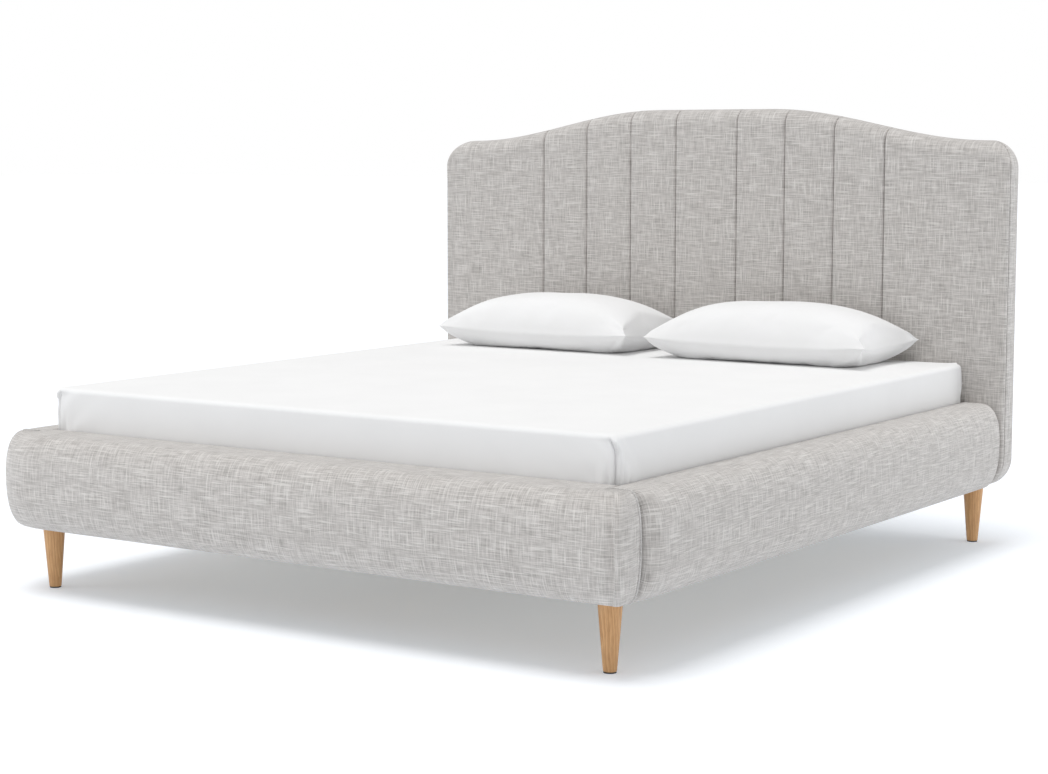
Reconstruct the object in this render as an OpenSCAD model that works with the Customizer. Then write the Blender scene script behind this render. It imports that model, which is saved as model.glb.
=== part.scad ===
// Upholstered double bed: channelled camel-back headboard, padded rails with a
// rounded outer face, tapered wooden legs, sprung slats, mattress and pillows.
// The bed stands on z = 0, centred on its footprint, with the headboard at +Y.

/* [Mattress] */
// Width of the mattress, across the bed
mattress_w = 1800; // [1600:10:2000]
// Length of the mattress
mattress_l = 2000; // [1900:10:2100]
// Thickness of the mattress
mattress_h = 250; // [220:5:300]
// Radius of the mattress's upright corners
mattress_corner_r = 45; // [20:1:80]
// Thickness of the fitted sheet
sheet_t = 1.5; // [1:0.1:3]

/* [Rails] */
// Height of the rails' underside above the floor
rail_clear_h = 175; // [150:5:220]
// Height of the rails from underside to top
rail_h = 260; // [240:5:300]
// How far the padded outer face swells past the rail's top edge
rail_bulge = 66; // [45:1:80]
// Width of a side rail's flat top
side_rail_t = 52; // [48:1:70]
// Width of the foot rail's flat top
foot_rail_t = 89; // [85:1:110]
// Gap between the mattress and the side rails
side_gap = 8; // [6:1:20]
// Gap between the mattress and the foot rail
foot_gap = 5; // [4:1:20]
// Thickness of the timber boards in the rails
rail_board_t = 25; // [20:1:30]

/* [Headboard] */
// Height of the headboard's crown above the floor
headboard_h = 1322; // [1200:5:1500]
// Fall from the crown to the shoulders
headboard_drop = 100; // [40:5:130]
// Overhang of the headboard past each side rail
headboard_overhang = 4; // [2:1:30]
// Radius of the headboard's top corners
top_corner_r = 86; // [40:1:100]
// Radius of the headboard's bottom corners
bottom_corner_r = 90; // [60:1:110]
// Width of the middle channel
centre_channel_w = 226; // [180:2:260]
// Width of each of the other channels
channel_w = 171; // [140:1:180]
// Thickness of the headboard's front padding
headboard_pad_t = 26; // [20:1:30]
// Thickness of the headboard's timber frame
headboard_frame_t = 40; // [30:1:50]

/* [Legs] */
// Diameter of a leg at its top
leg_top_d = 62; // [50:1:64]
// Diameter of a leg at its foot
leg_foot_d = 33; // [28:1:45]

/* [Slats] */
// Number of slats in each of the two rows
slat_count = 14; // [10:1:16]
// Width of a slat
slat_w = 63; // [50:1:70]
// Thickness of a slat
slat_t = 8; // [7:0.5:10]

/* [Pillows] */
// Width of a pillow, across the bed
pillow_w = 730; // [650:10:760]
// Depth of a pillow, along the bed
pillow_d = 390; // [340:10:400]
// Height of a pillow
pillow_h = 170; // [120:5:180]

/* [Hidden] */
$fn = 64;
fit_gap = 0.3;            // clearance between neighbours on different bodies
bolt_r = 4;               // M8 bolts
bolt_clear = 0.2;         // radial clearance of a bolt in its hole

// Planes across the bed, measured from the bed's centre line
mattress_x = mattress_w / 2;
rail_inner_x = mattress_x + side_gap;
rail_edge_x = rail_inner_x + side_rail_t;
bulge_x = rail_edge_x + rail_bulge;
headboard_x = bulge_x + headboard_overhang;
board_in_x = rail_inner_x + 2;
board_out_x = board_in_x + rail_board_t;

// Layers of the headboard, from front to back
panel_t = 9;
back_cover_t = 3;
headboard_t = headboard_pad_t + panel_t + headboard_frame_t + back_cover_t;
head_gap = 6;

// Planes along the bed
bed_l = rail_bulge + foot_rail_t + foot_gap + mattress_l + head_gap + headboard_t;
foot_front_y = -bed_l / 2;
foot_edge_y = foot_front_y + rail_bulge;
foot_board_y = foot_edge_y + 12;
foot_board_back_y = foot_board_y + rail_board_t;
foot_back_y = foot_edge_y + foot_rail_t;
mattress_foot_y = foot_back_y + foot_gap;
mattress_head_y = mattress_foot_y + mattress_l;
headboard_front_y = mattress_head_y + head_gap;
panel_y = headboard_front_y + headboard_pad_t;
frame_y = panel_y + panel_t;
back_cover_y = frame_y + headboard_frame_t;
headboard_back_y = headboard_front_y + headboard_t;

// Heights
rail_top_z = rail_clear_h + rail_h;
board_z = rail_clear_h + 5;
board_h = rail_h - 15;
mattress_z = rail_clear_h + 125;
mattress_top_z = mattress_z + mattress_h;
slat_top_z = mattress_z - fit_gap;
holder_base_t = 17;
holder_z = slat_top_z - slat_t - holder_base_t;

// Corner seams between the foot rail's wrapped ends and the side rails
welt_t = 4;
side_pad_y = foot_board_back_y + welt_t;
rail_end_y = headboard_front_y - 0.5;

// Corner blocks that carry the front legs
block_w = 59;
block_l = 96;
block_h = 82;
block_x = board_in_x - 0.2 - block_w;
block_y = foot_board_back_y + 0.2;
front_leg_x = mattress_x - 5;
front_leg_y = foot_board_back_y + 36;
block_bolt_z = board_z + 30;
block_bolt_pitch = 52;

// Headboard frame and rear legs
border_t = 8;
edge_frame_w = 26;
frame_inset = border_t + 0.3;
post_w = 90;
post_x = board_in_x - 50;
rear_leg_x = post_x + 60;
rear_leg_y = frame_y + headboard_frame_t + back_cover_t - leg_top_d / 2 - 1;
inner_inset = frame_inset + edge_frame_w + 0.3;
batten_w = 70;

// Leg and glide
glide_h = 3;
leg_bolt_down = 45;
leg_bolt_up = 60;

// Brackets that join the side rails to the headboard
bracket_t = 3;
bracket_w = 60;
bracket_h = 96;
bracket_z = board_z + 15;
bracket_bolt_pitch = 50;
bracket_bolt_z = bracket_z + (bracket_h - bracket_bolt_pitch) / 2;
post_bolt_x = board_in_x - 26;
rail_bolt_y = rail_end_y - 30;

// Slat support
ledger_w = 30;
ledger_h = 35;
ledger_z = holder_z - ledger_h;
ledger_y = block_y + block_l + 4;
ledger_end_y = rail_end_y - bracket_w - 6;
ledger_l = ledger_end_y - ledger_y;
ledger_screws = 6;
screw_r = 2.5;
holder_w = 75;
holder_l = 38;
centre_holder_l = 80;
slat_in_x = 14;
slat_out_x = board_in_x - 8;
slat_pitch = (ledger_l - holder_w - 10) / (slat_count - 1);
first_slat_y = ledger_y + (holder_w + 10) / 2;

// Centre beam, its brackets, legs and feet
beam_w = 60;
beam_h = 60;
beam_z = holder_z - beam_h;
beam_y = foot_back_y - 4;
beam_end_y = headboard_front_y - bracket_t - 0.5;
saddle_l = 45;
beam_screw_x = beam_w / 2 + 12;
beam_screw_z = beam_z + 20;
centre_leg_d = 45;
foot_disc_h = 8;
foot_disc_d = 40;
foot_travel = 20;
stem_l = 50;
stem_r = 5;
plate_t = 3;
plate_w = 56;
centre_leg_ys = [mattress_foot_y + mattress_l * 0.42, mattress_foot_y + mattress_l * 0.72];

// Pillows
pillow_y = mattress_head_y - 5 - pillow_d / 2;
pillow_left_x = -pillow_w / 2 - 50;
pillow_right_x = pillow_w / 2 + 3;
pillow_z = mattress_top_z + sheet_t + fit_gap;

// Crown of the headboard: flat in the middle, easing down to the shoulders
crown_flat_x = 200;
crown_end_x = headboard_x - top_corner_r - 2;
crown_steps = 24;
corner_steps = 8;

linen = [0.77, 0.75, 0.72];
linen_light = [0.84, 0.82, 0.79];
oak = [0.77, 0.56, 0.34];
pine = [0.87, 0.74, 0.53];
birch = [0.90, 0.81, 0.64];
steel = [0.62, 0.63, 0.65];
dark_plastic = [0.13, 0.13, 0.14];
white_cotton = [0.97, 0.97, 0.97];

// ---------- shapes that repeat ----------

// Copies its children to the other side of the bed as well
module both_sides() {
    children();
    mirror([1, 0, 0]) children();
}

// A box from one corner, by its lowest x, y, z and its size
module box(low, size) {
    translate(low) cube(size);
}

// A round bar along X, Y or Z
module bar_x(x, y, z, r, l) {
    translate([x, y, z]) rotate([0, 90, 0]) cylinder(r = r, h = l);
}

module bar_y(x, y, z, r, l) {
    translate([x, y, z]) rotate([-90, 0, 0]) cylinder(r = r, h = l);
}

module bar_z(x, y, z, r, l) {
    translate([x, y, z]) cylinder(r = r, h = l);
}

// Height of the headboard's outline at a distance from the centre line
function crown(x) =
    let (t = (abs(x) - crown_flat_x) / (crown_end_x - crown_flat_x))
    let (ease = t < 0 ? 0 : t > 1 ? 1 : t)
    headboard_h - headboard_drop * (1 - cos(180 * ease)) / 2;

function arc(cx, cz, r, from, to) =
    [for (i = [0:corner_steps])
        let (a = from + (to - from) * i / corner_steps)
        [cx + r * cos(a), cz + r * sin(a)]];

// Outline of the headboard in X and Z, drawn in by d
function outline(d) =
    let (tx = headboard_x - top_corner_r)
    let (tz = headboard_h - headboard_drop - top_corner_r)
    let (bx = headboard_x - bottom_corner_r)
    let (bz = rail_clear_h + bottom_corner_r)
    concat(
        arc(bx, bz, bottom_corner_r - d, -90, 0),
        arc(tx, tz, top_corner_r - d, 0, 90),
        [for (i = [0:2 * crown_steps])
            let (x = crown_end_x * (1 - i / crown_steps))
            [x, crown(x) - d]],
        arc(-tx, tz, top_corner_r - d, 90, 180),
        arc(-bx, bz, bottom_corner_r - d, 180, 270));

// A slice of the headboard between two depths, drawn in by d
module headboard_slice(y, t, d) {
    translate([0, y + t, 0])
        rotate([90, 0, 0])
            linear_extrude(t) polygon(outline(d));
}

// A band along the headboard's outline, between two distances in from it
module headboard_ring(y, t, outer, inner) {
    difference() {
        headboard_slice(y, t, outer);
        headboard_slice(y - 1, t + 2, inner);
    }
}

// Rail section from its top edge outwards: a flat face between two quarter rounds
module bulge_section(r) {
    intersection() {
        union() {
            translate([0, rail_h - rail_bulge]) circle(r = r);
            translate([0, rail_bulge]) circle(r = r);
            translate([0, rail_bulge]) square([r, rail_h - 2 * rail_bulge]);
        }
        translate([0, rail_bulge - r]) square([r, rail_h - 2 * rail_bulge + 2 * r]);
    }
}

// The section with the part of the rail behind it, back to a depth
module rail_section(depth) {
    bulge_section(rail_bulge);
    translate([-depth, 0]) square([depth + 1, rail_h]);
}

// Holes or bars for the bolts of one head bracket
module bracket_bolt_set(r) {
    for (i = [0, 1]) {
        z = bracket_bolt_z + i * bracket_bolt_pitch;
        bar_y(post_bolt_x, headboard_front_y - bracket_t - 1, z, r, 62);
        bar_x(board_in_x - bracket_t - 1, rail_bolt_y, z, r, 22);
    }
}

// Holes or bars for the bolts through one corner block
module block_bolt_set(r, l) {
    for (i = [0, 1])
        bar_x(block_x - 1, block_y + 22 + i * block_bolt_pitch, block_bolt_z, r, l);
}

// Position of a leg's bolt: front ones in the corner blocks, rear ones in the posts
module leg_bolt_at(r, rear) {
    x = rear ? rear_leg_x : front_leg_x;
    y = rear ? rear_leg_y : front_leg_y;
    top = rear ? rail_clear_h : board_z;
    bar_z(x, y, top - leg_bolt_down, r, leg_bolt_down + leg_bolt_up);
}

module leg(x, y, top) {
    difference() {
        translate([x, y, glide_h])
            cylinder(d1 = leg_foot_d, d2 = leg_top_d, h = top - glide_h);
        bar_z(x, y, top - leg_bolt_down, bolt_r + bolt_clear, leg_bolt_down + 1);
    }
}

// Holes or bars for one ledger's screws
module ledger_screw_set(r) {
    for (i = [0:ledger_screws - 1]) {
        y = ledger_y + 60 + i * (ledger_l - 120) / (ledger_screws - 1);
        bar_x(board_in_x - ledger_w, y, ledger_z + ledger_h / 2, r, ledger_w + 18);
    }
}

// Holes or bars for the screws of the centre beam's cradles, at the foot and at the head
module beam_screw_set(r) {
    for (s = [-1, 1]) {
        bar_y(s * beam_screw_x, foot_back_y - 5 - 16, beam_screw_z, r, 16 + bracket_t + 0.1);
        bar_y(s * beam_screw_x, headboard_front_y - bracket_t - 0.1, beam_screw_z, r, 62);
    }
}

// ---------- headboard ----------

module headboard_panel() {
    color(birch) difference() {
        headboard_slice(panel_y, panel_t, frame_inset);
        both_sides() bracket_bolt_set(bolt_r + bolt_clear);
        beam_screw_set(screw_r + 0.1);
    }
}

module headboard_edge_frame() {
    color(pine) difference() {
        headboard_ring(frame_y, headboard_frame_t, frame_inset, frame_inset + edge_frame_w);
        both_sides() leg_bolt_at(bolt_r + bolt_clear, true);
    }
}

module headboard_post() {
    post_z = rail_clear_h + inner_inset;
    color(pine) difference() {
        intersection() {
            headboard_slice(frame_y, headboard_frame_t, inner_inset);
            box([post_x, frame_y, 0], [post_w, headboard_frame_t, headboard_h]);
        }
        bracket_bolt_set(bolt_r + bolt_clear);
        leg_bolt_at(bolt_r + bolt_clear, true);
    }
}

module headboard_post_right() {
    headboard_post();
}

module headboard_post_left() {
    mirror([1, 0, 0]) headboard_post();
}

module headboard_battens() {
    span = 2 * post_x - 0.6;
    lower_z = beam_z - 5;
    upper_z = headboard_h - headboard_drop - batten_w - 45;
    color(pine) difference() {
        for (z = [lower_z, (lower_z + upper_z) / 2, upper_z])
            box([-span / 2, frame_y, z], [span, headboard_frame_t, batten_w]);
        beam_screw_set(screw_r + 0.1);
    }
}

module headboard_back_cover() {
    color(linen) headboard_slice(back_cover_y, back_cover_t, frame_inset);
}

module headboard_border() {
    color(linen) difference() {
        headboard_ring(headboard_front_y + 7, headboard_t - 7, 0, border_t);
        both_sides() leg_bolt_at(bolt_r + bolt_clear, true);
    }
}

module headboard_welt() {
    color(linen_light) headboard_ring(headboard_front_y + 1, 5.8, 1, border_t - 1);
}

// Padding of the headboard between two seams
module front_pad(from, to) {
    seam = 1;
    color(linen) intersection() {
        headboard_slice(headboard_front_y, headboard_pad_t, frame_inset);
        box([from + seam, headboard_front_y, 0], [to - from - 2 * seam, headboard_pad_t, headboard_h]);
    }
}

// Seams stand at half the middle channel plus whole channels from the centre
function seam_x(i) = centre_channel_w / 2 + i * channel_w;

module side_front_pad() {
    difference() {
        front_pad(seam_x(3), headboard_x);
        bracket_bolt_set(bolt_r + bolt_clear);
    }
}

module headboard_pad_right() {
    side_front_pad();
}

module headboard_pad_left() {
    mirror([1, 0, 0]) side_front_pad();
}

// Channel i of seven, counted from the left; the fourth is the middle one
module channel_pad(i) {
    if (i == 4) difference() {
        front_pad(-seam_x(0), seam_x(0));
        beam_screw_set(screw_r + 0.1);
    }
    else if (i > 4) front_pad(seam_x(i - 5), seam_x(i - 4));
    else mirror([1, 0, 0]) front_pad(seam_x(3 - i), seam_x(4 - i));
}

// ---------- foot rail ----------

module foot_rail_front_board() {
    color(pine)
        box([-(rail_edge_x - 10), foot_board_y, board_z],
            [2 * (rail_edge_x - 10), rail_board_t, board_h]);
}

module foot_rail_back_board() {
    back_t = 18;
    half = block_x - 5;
    color(pine) difference() {
        box([-half, foot_back_y - 5 - back_t, board_z], [2 * half, back_t, board_h]);
        beam_screw_set(screw_r + 0.1);
    }
}

module foot_rail_spacers() {
    spacer_w = 60;
    spacer_t = foot_back_y - 5 - 18 - foot_board_back_y;
    color(pine)
        for (x = [-640, -230, 230, 640])
            box([x - spacer_w / 2, foot_board_back_y, board_z + 12],
                [spacer_w, spacer_t, board_h - 24]);
}

// The front swell and its two mitred returns, hollowed for the board, and a top lip
module foot_rail_pad() {
    depth = foot_board_back_y - foot_edge_y;
    color(linen) {
        difference() {
            intersection() {
                translate([-bulge_x, foot_edge_y, rail_clear_h])
                    rotate([90, 0, 90])
                        linear_extrude(2 * bulge_x)
                            mirror([1, 0]) rail_section(depth);
                translate([0, foot_board_back_y, rail_clear_h])
                    rotate([90, 0, 0])
                        linear_extrude(foot_board_back_y - foot_front_y)
                            union() {
                                translate([rail_edge_x, 0]) rail_section(rail_edge_x);
                                mirror([1, 0]) translate([rail_edge_x, 0]) rail_section(rail_edge_x);
                            }
            }
            box([-(rail_edge_x - 10), foot_board_y, board_z],
                [2 * (rail_edge_x - 10), rail_board_t + 1, board_h]);
        }
        box([-rail_inner_x, foot_board_back_y - 1, board_z + board_h],
            [2 * rail_inner_x, foot_back_y - foot_board_back_y + 1, rail_top_z - board_z - board_h]);
    }
}

// Piping around the corner seams, proud of the padding
module corner_welts() {
    proud = 1.5;
    depth = 4.5;
    color(linen_light) both_sides()
        translate([rail_edge_x, foot_board_back_y + welt_t - 0.2, rail_clear_h])
            rotate([90, 0, 0])
                linear_extrude(welt_t - 0.4)
                    difference() {
                        bulge_section(rail_bulge + proud);
                        bulge_section(rail_bulge + proud - depth);
                    }
}

// ---------- side rails ----------

module side_rail_board() {
    color(pine) difference() {
        box([board_in_x, foot_board_back_y + 0.2, board_z],
            [rail_board_t, rail_end_y - foot_board_back_y - 0.2, board_h]);
        block_bolt_set(bolt_r + bolt_clear, block_w + 20);
        bracket_bolt_set(bolt_r + bolt_clear);
        ledger_screw_set(screw_r + 0.1);
    }
}

module side_rail_board_right() {
    side_rail_board();
}

module side_rail_board_left() {
    mirror([1, 0, 0]) side_rail_board();
}

// The swell outside the board, and a lip over its top edge
module side_rail_pad() {
    color(linen)
        translate([rail_edge_x, rail_end_y, rail_clear_h])
            rotate([90, 0, 0])
                linear_extrude(rail_end_y - side_pad_y)
                    union() {
                        rail_section(rail_edge_x - board_out_x);
                        translate([rail_inner_x - rail_edge_x, board_z + board_h - rail_clear_h])
                            square([side_rail_t, rail_h - (board_z + board_h - rail_clear_h)]);
                    }
}

module side_rail_pad_right() {
    side_rail_pad();
}

module side_rail_pad_left() {
    mirror([1, 0, 0]) side_rail_pad();
}

// ---------- corner blocks ----------

module corner_block() {
    color(pine) difference() {
        box([block_x, block_y, board_z], [block_w, block_l, block_h]);
        block_bolt_set(bolt_r + bolt_clear, block_w + 20);
        leg_bolt_at(bolt_r + bolt_clear, false);
    }
}

module corner_block_right() {
    corner_block();
}

module corner_block_left() {
    mirror([1, 0, 0]) corner_block();
}

// Bolts with round heads through the corner blocks into the side rail boards
module corner_block_bolts() {
    head_t = 5;
    color(steel) both_sides()
        for (i = [0, 1]) {
            y = block_y + 22 + i * block_bolt_pitch;
            bar_x(block_x - head_t, y, block_bolt_z, 2 * bolt_r, head_t);
            bar_x(block_x - 0.1, y, block_bolt_z, bolt_r, block_w + 16);
        }
}

// ---------- head brackets ----------

module head_bracket() {
    color(steel) difference() {
        union() {
            box([board_in_x - bracket_t, rail_end_y - bracket_w, bracket_z],
                [bracket_t, bracket_w - bracket_t + 0.5, bracket_h]);
            box([board_in_x - bracket_w, headboard_front_y - bracket_t, bracket_z],
                [bracket_w, bracket_t, bracket_h]);
        }
        bracket_bolt_set(bolt_r + bolt_clear);
    }
}

module head_bracket_right() {
    head_bracket();
}

module head_bracket_left() {
    mirror([1, 0, 0]) head_bracket();
}

module head_bracket_bolts() {
    head_t = 4;
    color(steel) both_sides()
        for (i = [0, 1]) {
            z = bracket_bolt_z + i * bracket_bolt_pitch;
            bar_y(post_bolt_x, headboard_front_y - bracket_t - head_t, z, 2 * bolt_r, head_t);
            bar_y(post_bolt_x, headboard_front_y - bracket_t - 0.1, z, bolt_r, 55);
            bar_x(board_in_x - bracket_t - head_t, rail_bolt_y, z, 2 * bolt_r, head_t);
            bar_x(board_in_x - bracket_t - 0.1, rail_bolt_y, z, bolt_r, 20);
        }
}

// ---------- slat ledgers ----------

module slat_ledger() {
    color(pine) difference() {
        box([board_in_x - ledger_w, ledger_y, ledger_z], [ledger_w, ledger_l, ledger_h]);
        ledger_screw_set(screw_r + 0.1);
    }
}

module slat_ledger_right() {
    slat_ledger();
}

module slat_ledger_left() {
    mirror([1, 0, 0]) slat_ledger();
}

module ledger_screws() {
    head_t = 2.5;
    color(steel) both_sides()
        for (i = [0:ledger_screws - 1]) {
            y = ledger_y + 60 + i * (ledger_l - 120) / (ledger_screws - 1);
            z = ledger_z + ledger_h / 2;
            bar_x(board_in_x - ledger_w - head_t, y, z, 2 * screw_r, head_t);
            bar_x(board_in_x - ledger_w - 0.1, y, z, screw_r, ledger_w + 16);
        }
}

// ---------- legs ----------

module leg_front_right() {
    color(oak) leg(front_leg_x, front_leg_y, board_z);
}

module leg_front_left() {
    color(oak) leg(-front_leg_x, front_leg_y, board_z);
}

module leg_rear_right() {
    color(oak) leg(rear_leg_x, rear_leg_y, rail_clear_h);
}

module leg_rear_left() {
    color(oak) leg(-rear_leg_x, rear_leg_y, rail_clear_h);
}

module leg_bolts() {
    color(steel) both_sides() {
        leg_bolt_at(bolt_r, false);
        leg_bolt_at(bolt_r, true);
    }
}

module leg_glides() {
    color(dark_plastic) both_sides() {
        bar_z(front_leg_x, front_leg_y, 0, leg_foot_d / 2 - 1, glide_h);
        bar_z(rear_leg_x, rear_leg_y, 0, leg_foot_d / 2 - 1, glide_h);
    }
}

// ---------- centre support ----------

module centre_beam() {
    color(pine) box([-beam_w / 2, beam_y, beam_z], [beam_w, beam_end_y - beam_y, beam_h]);
}

// A steel cradle under each end of the beam, with ears that screw to the timber behind
module cradle(y, back_y) {
    wall = bracket_t;
    half = beam_w / 2 + 0.2;
    ear = 24;
    difference() {
        union() {
            box([-half - wall, y, beam_z - wall - 0.2], [2 * (half + wall), saddle_l, wall]);
            for (s = [-1, 1])
                box([s > 0 ? half : -half - wall, y, beam_z - wall - 0.2], [wall, saddle_l, 50]);
            for (s = [-1, 1])
                box([s > 0 ? half : -half - ear, back_y, beam_z - wall - 0.2], [ear, wall, 50]);
        }
        beam_screw_set(screw_r + 0.1);
    }
}

module beam_brackets() {
    color(steel) {
        cradle(foot_back_y - 5, foot_back_y - 5);
        cradle(headboard_front_y - saddle_l, headboard_front_y - bracket_t);
    }
}

// Screws with round heads through the cradles' ears
module beam_bracket_screws() {
    head_t = 2;
    color(steel) {
        beam_screw_set(screw_r);
        for (side = [-1, 1]) {
            x = side * beam_screw_x;
            bar_y(x, foot_back_y - 5 + bracket_t, beam_screw_z, 2 * screw_r, head_t);
            bar_y(x, headboard_front_y - bracket_t - head_t, beam_screw_z, 2 * screw_r, head_t);
        }
    }
}

// A turned support leg under the beam, bored from below for its foot's stem
module centre_leg(y) {
    top = beam_z - plate_t;
    color(oak) difference() {
        bar_z(0, y, foot_disc_h + fit_gap, centre_leg_d / 2, top - foot_disc_h - fit_gap);
        bar_z(0, y, 0, stem_r + 0.06, foot_disc_h + stem_l + 4);
    }
}

module centre_leg_front() {
    centre_leg(centre_leg_ys[0]);
}

module centre_leg_rear() {
    centre_leg(centre_leg_ys[1]);
}

module centre_leg_plates() {
    color(steel)
        for (y = centre_leg_ys)
            box([-plate_w / 2, y - plate_w / 2, beam_z - plate_t], [plate_w, plate_w, plate_t]);
}

// A levelling foot: a disc on the floor and a stem up into the leg
module centre_foot(y) {
    color(dark_plastic) {
        bar_z(0, y, 0, foot_disc_d / 2, foot_disc_h);
        bar_z(0, y, foot_disc_h - 1, stem_r, stem_l);
    }
}

module centre_foot_front() {
    centre_foot(centre_leg_ys[0]);
}

module centre_foot_rear() {
    centre_foot(centre_leg_ys[1]);
}

// ---------- slats ----------

function slat_y(i) = first_slat_y + i * slat_pitch;

module slat_row() {
    color(birch)
        for (i = [0:slat_count - 1])
            box([slat_in_x, slat_y(i) - slat_w / 2, slat_top_z - slat_t],
                [slat_out_x - slat_in_x, slat_w, slat_t]);
}

module slats_right() {
    slat_row();
}

module slats_left() {
    mirror([1, 0, 0]) slat_row();
}

// A row of plastic saddles that hold slat ends, with a pocket cut from above
module holder_row(x, l, pocket_x, pocket_l) {
    color(dark_plastic)
        for (i = [0:slat_count - 1])
            difference() {
                box([x, slat_y(i) - holder_w / 2, holder_z],
                    [l, holder_w, holder_base_t + slat_t - 0.5]);
                for (p = pocket_x)
                    box([p, slat_y(i) - slat_w / 2 - 0.2, slat_top_z - slat_t],
                        [pocket_l, slat_w + 0.4, slat_t + 1]);
            }
}

module slat_holders_right() {
    holder_row(board_in_x - holder_l - 2, holder_l, [board_in_x - holder_l - 3], holder_l - 4.8);
}

module slat_holders_left() {
    mirror([1, 0, 0]) slat_holders_right();
}

module slat_holders_centre() {
    half = centre_holder_l / 2;
    holder_row(-half, centre_holder_l, [-half - 1, slat_in_x - 0.2], half + 1.2 - slat_in_x);
}

// ---------- mattress and bedding ----------

// A block with rounded upright edges, standing on z
module soft_block(w, l, z, h, r) {
    translate([0, (mattress_foot_y + mattress_head_y) / 2, z])
        linear_extrude(h) union() {
            square([w, l - 2 * r], center = true);
            square([w - 2 * r, l], center = true);
            for (x = [-1, 1], y = [-1, 1])
                translate([x * (w / 2 - r), y * (l / 2 - r)]) circle(r = r);
        }
}

module mattress() {
    color(white_cotton)
        soft_block(mattress_w, mattress_l, mattress_z, mattress_h, mattress_corner_r);
}

// The sheet covers the top and all four sides of the mattress
module fitted_sheet() {
    color(white_cotton) difference() {
        soft_block(mattress_w + 2 * sheet_t, mattress_l + 2 * sheet_t, mattress_z,
            mattress_h + sheet_t, mattress_corner_r + sheet_t);
        soft_block(mattress_w, mattress_l, mattress_z - 1, mattress_h + 1, mattress_corner_r);
    }
}

// A plump pillow: four drawn corners and a crowned middle
module pillow(x) {
    corner_r = 9;
    color(white_cotton) translate([x, pillow_y, pillow_z + pillow_h / 2]) hull() {
        for (sx = [-1, 1], sy = [-1, 1])
            translate([sx * (pillow_w / 2 - corner_r), sy * (pillow_d / 2 - corner_r), -pillow_h / 10])
                sphere(r = corner_r, $fn = 16);
        scale([pillow_w * 0.43, pillow_d * 0.44, pillow_h / 2]) sphere(r = 1, $fn = 32);
    }
}

module pillow_left() {
    pillow(pillow_left_x);
}

module pillow_right() {
    pillow(pillow_right_x);
}

headboard_panel();
headboard_edge_frame();
headboard_post_left();
headboard_post_right();
headboard_battens();
headboard_back_cover();
headboard_border();
headboard_welt();
headboard_pad_left();
headboard_pad_right();
channel_pad(1);  // channel_pad_1
channel_pad(2);  // channel_pad_2
channel_pad(3);  // channel_pad_3
channel_pad(4);  // channel_pad_4
channel_pad(5);  // channel_pad_5
channel_pad(6);  // channel_pad_6
channel_pad(7);  // channel_pad_7
foot_rail_front_board();
foot_rail_back_board();
foot_rail_spacers();
foot_rail_pad();
corner_welts();
side_rail_board_left();
side_rail_board_right();
side_rail_pad_left();
side_rail_pad_right();
corner_block_left();
corner_block_right();
corner_block_bolts();
head_bracket_left();
head_bracket_right();
head_bracket_bolts();
slat_ledger_left();
slat_ledger_right();
ledger_screws();
leg_front_left();
leg_front_right();
leg_rear_left();
leg_rear_right();
leg_bolts();
leg_glides();
centre_beam();
beam_brackets();
beam_bracket_screws();
centre_leg_front();
centre_leg_rear();
centre_leg_plates();
centre_foot_front();
centre_foot_rear();
slats_left();
slats_right();
slat_holders_left();
slat_holders_right();
slat_holders_centre();
mattress();
fitted_sheet();
pillow_left();
pillow_right();
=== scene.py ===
import math

import bmesh
import bpy
import numpy as np
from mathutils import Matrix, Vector, noise


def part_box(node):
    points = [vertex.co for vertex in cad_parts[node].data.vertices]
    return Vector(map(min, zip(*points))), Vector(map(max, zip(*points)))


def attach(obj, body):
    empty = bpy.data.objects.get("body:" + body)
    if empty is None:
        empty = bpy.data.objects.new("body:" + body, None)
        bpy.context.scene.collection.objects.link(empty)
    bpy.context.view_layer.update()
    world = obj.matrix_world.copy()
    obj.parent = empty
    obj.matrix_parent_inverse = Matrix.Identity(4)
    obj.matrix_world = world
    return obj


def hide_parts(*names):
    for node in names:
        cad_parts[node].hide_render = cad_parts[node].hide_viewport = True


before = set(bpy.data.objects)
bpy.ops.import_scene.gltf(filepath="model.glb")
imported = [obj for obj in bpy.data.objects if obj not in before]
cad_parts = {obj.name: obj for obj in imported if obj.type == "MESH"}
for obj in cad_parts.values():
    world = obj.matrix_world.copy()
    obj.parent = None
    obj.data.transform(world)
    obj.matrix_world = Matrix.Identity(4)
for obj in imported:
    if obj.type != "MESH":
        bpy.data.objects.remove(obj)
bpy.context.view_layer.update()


def low(node):
    return np.array(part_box(node)[0])


def high(node):
    return np.array(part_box(node)[1])


# ---------- places that come from the CAD nodes, in metres ----------

HB_FRONT = low("channel_pad_4")[1]
HB_PANEL_FRONT = low("headboard_panel")[1]
HB_PANEL_BACK = high("headboard_panel")[1]
HB_BACK = high("headboard_border")[1]
HB_X = high("headboard_border")[0]
HB_LOW = low("headboard_border")[2]
HB_TOP = high("headboard_border")[2]
HB_WOOD_INSET = HB_X - high("headboard_edge_frame")[0]
HB_PANEL_INSET = HB_X - high("headboard_panel")[0]
CHANNEL_SEAMS = [float(high(f"channel_pad_{i}")[0]) for i in (4, 5, 6, 7)]

RAIL_LOW, RAIL_TOP = low("foot_rail_pad")[2], high("foot_rail_pad")[2]
RAIL_H = RAIL_TOP - RAIL_LOW
FOOT_FRONT = low("foot_rail_pad")[1]
FOOT_BACK = high("foot_rail_pad")[1]
SIDE_FRONT, SIDE_BACK = low("side_rail_pad_right")[1], high("side_rail_pad_right")[1]
SIDE_INNER = low("side_rail_pad_right")[0]
SIDE_OUT = high("side_rail_pad_right")[0]
BOARD_OUT = high("side_rail_board_right")[0]
BOARD_TOP = high("side_rail_board_right")[2]
FOOT_BOARD_FRONT = low("foot_rail_front_board")[1]
FOOT_BOARD_BACK = high("foot_rail_front_board")[1]

# ---------- shapes that the CAD states by rule ----------

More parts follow.
